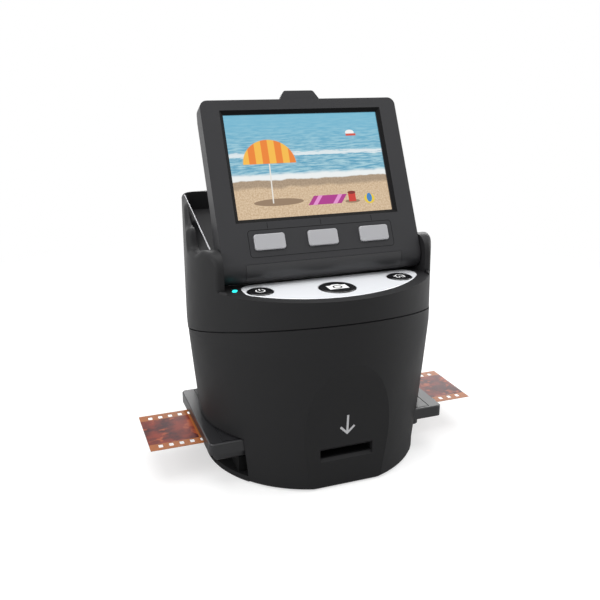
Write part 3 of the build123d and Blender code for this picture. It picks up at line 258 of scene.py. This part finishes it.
def glow(name, colour, strength):
    """A small light or a lit diffuser, a little uneven."""
    g = Graph(name)
    soft = g.ramp(g.noise(g.coords(), 300.0), 0.2, 0.8, strength * 0.9, strength)
    g.shade({
        "Base Color": colour, "Emission Color": colour, "Emission Strength": soft,
        "Roughness": 0.3,
    })
    return g.mat


# What the screen's picture shows over its beach, from back to front, in shares
# of the picture. A disc has its centre and half sizes, and a bar its left,
# right, foot, head and lean. The parasol's canopy comes after PARASOL_POLE.
PARASOL_POLE = (
    ("disc", (0.27, 0.15, 0.16, 0.035), (150, 124, 98)),          # shadow
    ("bar", (0.225, 0.235, 0.14, 0.60, 0.03), (236, 232, 224)),   # pole
)
PARASOL = (0.25, 0.52, 0.17, 0.24)
BEACH_THINGS = (
    ("bar", (0.40, 0.62, 0.10, 0.19, 0.5), (176, 48, 140)),       # towel
    ("bar", (0.43, 0.46, 0.10, 0.19, 0.5), (232, 150, 210)),      # its stripes
    ("bar", (0.56, 0.59, 0.10, 0.19, 0.5), (232, 150, 210)),
    ("disc", (0.745, 0.115, 0.05, 0.018), (150, 124, 98)),        # bucket's shadow
    ("bar", (0.72, 0.77, 0.11, 0.20, 0.0), (206, 52, 40)),        # bucket
    ("disc", (0.745, 0.20, 0.027, 0.016), (128, 26, 22)),         # its mouth
    ("disc", (0.86, 0.13, 0.035, 0.05), (236, 206, 60)),          # ball
    ("disc", (0.86, 0.14, 0.018, 0.045), (60, 132, 196)),         # its patch
    ("disc", (0.80, 0.80, 0.03, 0.028), (246, 248, 248)),         # buoy
    ("bar", (0.77, 0.84, 0.765, 0.79, 0.0), (212, 80, 62)),       # its band
)


def disc_mask(g, u, v, cx, cy, rx, ry):
    """1 where ((u - cx) / rx)^2 + ((v - cy) / ry)^2 is under 1, with a soft edge."""
    dx = g.math("DIVIDE", g.math("SUBTRACT", u, cx), rx)
    dy = g.math("DIVIDE", g.math("SUBTRACT", v, cy), ry)
    reach = g.math("ADD", g.math("MULTIPLY", dx, dx), g.math("MULTIPLY", dy, dy))
    return g.ramp(reach, 0.92, 1.0, 1.0, 0.0)


def bar_mask(g, u, v, left, right, foot, head, lean):
    """1 inside a bar whose sides shift by lean times the height."""
    shifted = g.math("SUBTRACT", u, g.math("MULTIPLY", v, lean))
    half_width, half_height = (right - left) / 2, (head - foot) / 2
    in_width = g.ramp(g.distance(shifted, (left + right) / 2),
                      half_width - 0.002, half_width, 1.0, 0.0)
    in_height = g.ramp(g.distance(v, (foot + head) / 2),
                       half_height - 0.003, half_height, 1.0, 0.0)
    return g.math("MULTIPLY", in_width, in_height)


def draw_things(g, u, v, tone, things):
    """The colours with the listed things drawn over them."""
    for shape, extent, colour in things:
        mask = (disc_mask if shape == "disc" else bar_mask)(g, u, v, *extent)
        tone = g.mix(mask, tone, srgb(*colour))
    return tone


def beach(g, u, v):
    """The empty beach: sand, wet sand and a line of foam along a wandering edge,
    and a rippled sea with one crest."""
    at = g.join(g.math("MULTIPLY", u, 1.55), v)
    stretched = g.join(g.math("MULTIPLY", u, 3.0), g.math("MULTIPLY", v, 16.0))
    ripple = g.noise(stretched, 4.0, 5.0, 0.62)
    sea = g.mix(g.ramp(ripple, 0.34, 0.66), srgb(82, 158, 190), srgb(170, 212, 224))
    sea = g.mix(g.ramp(v, 0.5, 1.0), sea, g.mix(ripple, srgb(96, 176, 208), srgb(140, 198, 218)))
    grain = g.ramp(g.noise(at, 60.0, 4.0, 0.7), 0.3, 0.7)
    sand = g.mix(grain, srgb(196, 166, 130), srgb(228, 204, 172))
    wet = g.mix(grain, srgb(158, 136, 112), srgb(182, 160, 134))
    edge = g.math("ADD", v, g.math("MULTIPLY", g.noise(at, 5.0), 0.06))
    tone = g.mix(g.ramp(edge, 0.30, 0.34), sand, wet)
    tone = g.mix(g.ramp(edge, 0.385, 0.40), tone, srgb(240, 244, 244))
    tone = g.mix(g.ramp(edge, 0.43, 0.47), tone, sea)
    crest = g.distance(g.math("ADD", v, g.math("MULTIPLY", ripple, 0.10)), 0.66)
    return g.mix(g.ramp(crest, 0.010, 0.028, 0.85, 0.0), tone, srgb(236, 243, 245))


def seaside_material():
    """The lit picture on the screen, drawn from its own UV: a beach with a striped
    parasol, a towel, a bucket and a ball, and a buoy on the sea."""
    g = Graph("screen_picture")
    u, v = g.split(g.uv())
    tone = draw_things(g, u, v, beach(g, u, v), PARASOL_POLE)
    above = g.ramp(v, PARASOL[1], PARASOL[1] + 0.005)
    canopy = g.math("MULTIPLY", disc_mask(g, u, v, *PARASOL), above)
    ribs = g.math("SINE", g.math("MULTIPLY", g.math("SUBTRACT", u, PARASOL[0]), 74.0))
    cloth = g.mix(g.ramp(ribs, -0.15, 0.15), srgb(240, 132, 40), srgb(250, 190, 70))
    tone = draw_things(g, u, v, g.mix(canopy, tone, cloth), BEACH_THINGS)
    g.shade({
        "Base Color": (0.01, 0.01, 0.01, 1), "Roughness": 0.12, "Specular IOR Level": 0.35,
        "Emission Color": tone, "Emission Strength": 0.92,
    })
    return g.mat


SHELL = plastic("shell", (34, 34, 35), 0.5, 0.2, specular=0.16)
FACE = plastic("screen_shell", (46, 46, 48), 0.42, 0.12, specular=0.25)
INNER = plastic("inner_black", (14, 14, 15), 0.65, 0.15, specular=0.15)
TRAY = plastic("tray", (34, 34, 36), 0.34, 0.15)
COVER = plastic("hinge_cover_satin", (40, 40, 42), 0.4, 0.05, specular=0.45)
WHITE = plastic("white_gloss", (236, 238, 242), 0.12, coat=0.5, spread=0.02)
BUTTON = plastic("button", (16, 16, 18), 0.22, coat=0.3, spread=0.02)
KEY = plastic("key", (166, 166, 169), 0.38, 0.1)
METAL = plastic("socket_metal", (190, 190, 190), 0.3, 0.05, metal=1.0)
STEEL = plastic("steel", (150, 150, 152), 0.34, 0.05, metal=1.0)
RUBBER = plastic("feet", (28, 28, 28), 0.75, 0.3)
SOCKET = plastic("card_socket_dark", (18, 18, 19), 0.5, specular=0.1)
# painted highlight: pale grey for the beads that stand in for the highlight on the cradle's
# edges
EDGE_HIGHLIGHT = plastic("painted_edge_highlight", (214, 214, 218), 0.3)
# painted shade: near-black for the grooves and the window's bevel, where the face lies in shade
PAINTED_SHADE = plastic("painted_groove_and_bevel_shade", (12, 12, 13), 0.6, specular=0.1)
PRINT = plastic("white_print", (238, 238, 238), 0.45)
ARROW = plastic("arrow_print", (196, 196, 198), 0.5)
PANEL = plastic("screen_glass", (14, 15, 17), 0.12, spread=0.02)

BY_SLOT = {
    "shell": SHELL, "screen_shell": FACE, "inner_black": INNER, "tray": TRAY,
    "white_gloss": WHITE, "button": BUTTON, "key": KEY, "screen_glass": PANEL,
    "light_lens": glow("light_lens", (0.02, 0.62, 0.60, 1), 2.0),
    "diffuser": glow("diffuser", (0.9, 0.92, 0.9, 1), 0.4),
    "optic": optic_painted_sheen(), "board": board_material(), "film": film_material(),
    "socket_metal": METAL, "steel": STEEL, "feet": RUBBER,
}
BY_NODE = {"card_socket": SOCKET, "hinge_cover": COVER}
for part in frame["record"]["subparts"]:
    node_materials = NODES[part["node"]].data.materials
    node_materials.clear()
    node_materials.append(BY_NODE.get(part["node"], BY_SLOT[part["material_slot"]]))


# ------------------------------------------------------------ mesh building
def mesh_object(name, vertices, faces, material, body, smooth=False, uv=None):
    """A mesh from vertices in metres and faces, riding on a body."""
    mesh = bpy.data.meshes.new(name)
    mesh.from_pydata([tuple(map(float, p)) for p in vertices], [], [tuple(f) for f in faces])
    mesh.update()
    if smooth:
        mesh.polygons.foreach_set("use_smooth", [True] * len(mesh.polygons))
    if uv is not None:
        layer = mesh.uv_layers.new(name="uv")
        loops = np.empty(len(mesh.loops), dtype=np.int32)
        mesh.loops.foreach_get("vertex_index", loops)
        layer.data.foreach_set("uv", np.asarray(uv, dtype=np.float32)[loops].ravel())
    mesh.materials.append(material)
    obj = bpy.data.objects.new(name, mesh)
    bpy.context.scene.collection.objects.link(obj)
    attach(obj, body)
    return obj


def on_screen(points):
    """Places on the raised screen of points (across, up, out) in millimetres:
    FOOT + x * X + y * UP + z * OUT."""
    x, y, z = (np.asarray(points, dtype=float) * MM).T
    return FOOT + np.outer(x, [1, 0, 0]) + np.outer(y, UP) + np.outer(z, OUT)


def circle(cy, r, n, start=0.0, sweep=2 * math.pi):
    """n points of r (cos t, sin t) about (0, cy): t runs a full turn without its
    end, or a shorter sweep with it."""
    t = start + sweep * np.arange(n) / (n if sweep == 2 * math.pi else n - 1)
    return np.column_stack([r * np.cos(t), cy + r * np.sin(t)])


def rounded(x0, x1, y0, y1, r, n=7):
    """A closed rectangle whose corners are quarter circles of n points."""
    quarter = np.linspace(0, math.pi / 2, n)
    centres = ((x1 - r, y0 + r), (x1 - r, y1 - r), (x0 + r, y1 - r), (x0 + r, y0 + r))
    corners = []
    for turn, (cx, cy) in enumerate(centres, start=-1):
        t = quarter + turn * math.pi / 2
        corners.append(np.column_stack([cx + r * np.cos(t), cy + r * np.sin(t)]))
    return np.vstack(corners)


def band_faces(n):
    """Faces between two closed outlines of n points, listed one after the other."""
    i = np.arange(n)
    k = (i + 1) % n
    return np.column_stack([i, k, n + k, n + i])


def stroke(path, width):
    """A flat band along a path: each point moved half the width to both sides,
    square to the path's direction there."""
    path = np.asarray(path, dtype=float)
    step = np.gradient(path, axis=0)
    step /= np.linalg.norm(step, axis=1)[:, None] + 1e-12
    side = np.column_stack([-step[:, 1], step[:, 0]]) * width / 2
    n = len(path)
    i = np.arange(n - 1)
    return np.vstack([path + side, path - side]), np.column_stack([i, i + 1, n + i + 1, n + i])


def join_flat(*drawings):
    """Joins several flat (points, faces) into one."""
    points, faces, count = [], [], 0
    for some_points, some_faces in drawings:
        points.append(some_points)
        faces.append(some_faces + count)
        count += len(some_points)
    return np.vstack(points), np.vstack(faces)


# -------------------------------------------------------------------- screen
picture_corners = [
    (-WINDOW_HALF_WIDTH, WINDOW_LOW, -PICTURE_DEPTH),
    (WINDOW_HALF_WIDTH, WINDOW_LOW, -PICTURE_DEPTH),
    (WINDOW_HALF_WIDTH, WINDOW_HIGH, -PICTURE_DEPTH),
    (-WINDOW_HALF_WIDTH, WINDOW_HIGH, -PICTURE_DEPTH),
]
picture = mesh_object(
    "screen_picture", on_screen(picture_corners), [(0, 1, 2, 3)], seaside_material(), "display",
    uv=[(0, 0), (1, 0), (1, 1), (0, 1)],
)


def painted_shade_band(name, outer, inner, drop=0.0):
    """A dark band on the screen's front between two closed outlines of as many
    points, painted shade where the face drops into a groove or into the window's
    bevel. The outer one is SKIN proud of the face, the inner one lower by drop."""
    n = len(outer)
    height = np.repeat([SKIN, SKIN - drop], n)
    points = on_screen(np.column_stack([np.vstack([outer, inner]), height]))
    band = mesh_object(name, points, band_faces(n), PAINTED_SHADE, "display")


def window_outline(grow):
    """The picture window's outline, moved out by grow."""
    x = WINDOW_HALF_WIDTH + grow
    return rounded(-x, x, WINDOW_LOW - grow, WINDOW_HIGH + grow, SHARP, 2)


def strip_outline(inset):
    """The outline round the three keys, moved in by inset."""
    x = STRIP_HALF_WIDTH - inset
    return rounded(-x, x, STRIP_LOW + inset, STRIP_HIGH - inset, STRIP_CORNER - inset)


# painted shade: a black band over the window's recessed bevel, which would otherwise render
# lighter
painted_shade_band("window_bevel_shade", window_outline(BEVEL), window_outline(-WINDOW_LAP), BEVEL_DEPTH)
# painted shade: flat black lines drawn where the grooves round the keys and the ticks lie in
# shade
painted_shade_band("key_strip_groove_shade", strip_outline(0.0), strip_outline(LINE))
for place, x in TICK_X.items():
    painted_shade_band(
        "tick_groove_shade_" + place,
        rounded(x - LINE / 2, x + LINE / 2, TICK_LOW, TICK_HIGH, SHARP, 2),
        rounded(x - 0.02, x + 0.02, TICK_LOW + 0.2, TICK_HIGH - 0.2, 0.01, 2),
    )


# --------------------------------------------------------------------- icons
def icon(name, drawing, body, material=PRINT, lift=PRINT_LIFT):
    """A flat sign lying on a button, raised above its top by lift."""
    (x, y), faces = drawing[0].T, drawing[1]
    cx, cy = BUTTON_AT[body]
    placed = np.column_stack([cx + x, cy + y, np.full(len(x), BUTTON_TOP + lift)]) * MM
    obj = mesh_object(name, placed, faces, material, body)


power_flat = join_flat(
    stroke(circle(0, 1.9, 30, math.radians(125), math.radians(290)), 0.55),
    stroke([(0, 0.4), (0, 2.4)], 0.55),
)
camera_outline = np.array([
    (-4.4, -2.9), (4.4, -2.9), (4.4, 2.4), (2.3, 2.4), (1.5, 3.5), (-1.5, 3.5), (-2.3, 2.4),
    (-4.4, 2.4),
])
lens_outline = np.vstack([circle(-0.2, 2.15, 40), circle(-0.2, 1.45, 40)])
home_flat = join_flat(
    stroke([(-2.7, 0.1), (0.2, 2.6)], 0.6), stroke([(-0.2, 2.6), (2.7, 0.1)], 0.6),
    stroke([(-1.8, 0.6), (-1.8, -2.2)], 0.55), stroke([(1.8, 0.6), (1.8, -2.2)], 0.55),
    stroke([(-2.0, -2.0), (-0.5, -2.0)], 0.55), stroke([(0.5, -2.0), (2.0, -2.0)], 0.55),
    stroke([(-0.55, -2.2), (-0.55, -0.4)], 0.45), stroke([(0.55, -2.2), (0.55, -0.4)], 0.45),
    stroke([(-0.75, -0.5), (0.75, -0.5)], 0.45),
)
icon("power_icon", power_flat, "power")
icon("camera_icon", (camera_outline, [range(len(camera_outline))]), "capture")
icon("camera_icon_lens", (lens_outline, band_faces(40)), "capture", BUTTON, 2 * PRINT_LIFT)
icon("home_icon", home_flat, "home")


def recess_y(z):
    """Y of the card recess in plan at height z: upright up to the bend, and above
    it an arc that leans out by R - sqrt(R^2 - (z - bend)^2)."""
    above = np.maximum(z - RECESS_BEND, 0.0)
    return RECESS_Y - (RECESS_RADIUS - np.sqrt(RECESS_RADIUS**2 - above**2))


arrow_flat, arrow_faces = join_flat(
    stroke([(0, 34.8), (0, 32.5), (0, 30.2), (0, 28.0), (0, 26.3)], 1.0),
    stroke([(-3.3, 29.2), (-1.65, 27.55), (0.25, 25.65)], 1.0),
    stroke([(3.3, 29.2), (1.65, 27.55), (-0.25, 25.65)], 1.0),
)
arrow_x, arrow_z = arrow_flat.T
arrow_points = np.column_stack([arrow_x, recess_y(arrow_z) + PLAN_SHIFT - SKIN, arrow_z]) * MM
arrow = mesh_object("card_arrow", arrow_points, arrow_faces, ARROW, "body")


# ------------------------------------------------------- painted highlight of the cradle's edge
def cradle_edge_highlight(name, side):
    """A thin bright round bead along the cradle's inner edge, a painted highlight
    of that edge: a circle carried along z = min(height + slope * y, level). Its
    back end shows above the rim."""
    y = np.linspace(CRADLE_FRONT, CRADLE_BACK, BEAD_STEPS)[:, None]
    z = np.minimum(CRADLE_HEIGHT + CRADLE_SLOPE * y, CRADLE_LEVEL)
    around = 2 * math.pi * np.arange(BEAD_SIDES)[None, :] / BEAD_SIDES
    x = side * CRADLE_X + BEAD_RADIUS * np.cos(around) + 0 * y
    points = np.stack([x, y + PLAN_SHIFT + 0 * x, z + BEAD_RADIUS * np.sin(around)], axis=-1)
    row, k = np.meshgrid(
        np.arange(BEAD_STEPS - 1) * BEAD_SIDES, np.arange(BEAD_SIDES), indexing="ij")
    right = (k + 1) % BEAD_SIDES
    faces = np.stack([
        row + k, row + right, row + BEAD_SIDES + right, row + BEAD_SIDES + k,
    ], axis=-1).reshape(-1, 4)
    if side > 0:
        faces = faces[:, ::-1]
    last = (BEAD_STEPS - 1) * BEAD_SIDES
    faces = [*faces, range(BEAD_SIDES), range(last, last + BEAD_SIDES)]
    highlight_bead = mesh_object(name, points.reshape(-1, 3) * MM, faces, EDGE_HIGHLIGHT, "body", smooth=True)


# a bright bead along each cradle edge paints that edge's highlight
cradle_edge_highlight("cradle_edge_highlight_left", -1)
cradle_edge_highlight("cradle_edge_highlight_right", 1)


# --------------------------------------------------------------------- stage
def floor_material():
    """A pale floor that the camera sees as white, apart from the object's shadow,
    and that melts into the white backdrop away from the object."""
    g = Graph("floor")
    rays = g.add("ShaderNodeLightPath").outputs
    by_camera = rays["Is Camera Ray"]
    mirrored = g.math("ADD", rays["Is Glossy Ray"], rays["Is Transmission Ray"])
    seen = g.math("ADD", by_camera, mirrored, clamp=True)
    away = g.add("ShaderNodeVectorMath", operation="LENGTH")
    g.link(g.coords(), away.inputs[0])
    far = g.math("MULTIPLY", g.ramp(away.outputs["Value"], 0.16, 0.45), seen)
    near = g.math("MULTIPLY", g.math("SUBTRACT", 1.0, far), 0.56)
    g.shade({
        "Base Color": g.mix(far, (0.5, 0.5, 0.5, 1), (0, 0, 0, 1)), "Roughness": 0.6,
        "Specular IOR Level": 0.0, "Emission Color": (1, 1, 1, 1),
        "Emission Strength": g.math("ADD", g.math("MULTIPLY", near, by_camera), far),
    })
    return g.mat


floor_mesh = bpy.data.meshes.new("floor")
floor_corners = [(-1, -1, 0), (1, -1, 0), (1, 1, 0), (-1, 1, 0)]
floor_mesh.from_pydata(np.multiply(floor_corners, FLOOR_REACH).tolist(), [], [(0, 1, 2, 3)])
floor_mesh.materials.append(floor_material())
floor = bpy.data.objects.new("floor", floor_mesh)
bpy.context.scene.collection.objects.link(floor)


def area_light(name, at, aim, size, power):
    """A soft rectangular light at a place, aimed at another, which the camera
    doesn't see."""
    data = bpy.data.lights.new(name, "AREA")
    data.shape = "RECTANGLE"
    data.size, data.size_y = size
    data.energy = power
    obj = bpy.data.objects.new(name, data)
    direction = np.array(aim, dtype=float) - np.array(at, dtype=float)
    yaw = math.atan2(direction[0], -direction[1])
    pitch = math.acos(-direction[2] / np.linalg.norm(direction))
    obj.location = at
    obj.rotation_euler = (pitch, 0, yaw + math.pi)
    obj.visible_camera = False
    bpy.context.scene.collection.objects.link(obj)


area_light("top_light", (0.0, 0.1, 1.3), (0, 0, 0.05), (1.4, 1.2), 14)
area_light("left_light", (-0.9, -0.25, 0.5), (0, 0, 0.08), (0.5, 0.9), 5)
area_light("right_light", (1.0, -0.1, 0.45), (0, 0, 0.08), (0.3, 0.9), 5)
area_light("back_light", (0.5, 1.0, 0.4), (0, 0, 0.08), (0.9, 0.35), 4)


def studio_world():
    """Soft light from all sides, and a white backdrop for what the camera, a
    gloss or a glass shows of it."""
    world = bpy.data.worlds.new("studio")
    world.use_nodes = True
    nodes, wire = world.node_tree.nodes, world.node_tree.links.new
    nodes.clear()

    def background(strength):
        """White light of one strength."""
        node = nodes.new("ShaderNodeBackground")
        node.inputs["Color"].default_value = (1, 1, 1, 1)
        node.inputs["Strength"].default_value = strength
        return node.outputs[0]

    rays = nodes.new("ShaderNodeLightPath").outputs
    seen = rays["Is Camera Ray"]
    for kind in ("Is Glossy Ray", "Is Transmission Ray"):
        either = nodes.new("ShaderNodeMath")
        either.operation = "ADD"
        either.use_clamp = True
        wire(seen, either.inputs[0])
        wire(rays[kind], either.inputs[1])
        seen = either.outputs[0]
    pick = nodes.new("ShaderNodeMixShader")
    wire(seen, pick.inputs["Fac"])
    wire(background(0.55), pick.inputs[1])
    wire(background(1.0), pick.inputs[2])
    wire(pick.outputs[0], nodes.new("ShaderNodeOutputWorld").inputs["Surface"])
    return world


bpy.context.scene.world = studio_world()

camera = bpy.data.cameras.new("camera")
camera.sensor_width = CAMERA_SENSOR
camera.lens = CAMERA_LENS
camera.clip_start = 0.01
camera_object = bpy.data.objects.new("camera", camera)
camera_object.location = CAMERA_PLACE
camera_object.rotation_euler = (math.radians(90 - CAMERA_DOWN), 0, math.radians(CAMERA_TURN))
bpy.context.scene.collection.objects.link(camera_object)
bpy.context.scene.camera = camera_object
bpy.context.scene.view_settings.view_transform = "Standard"
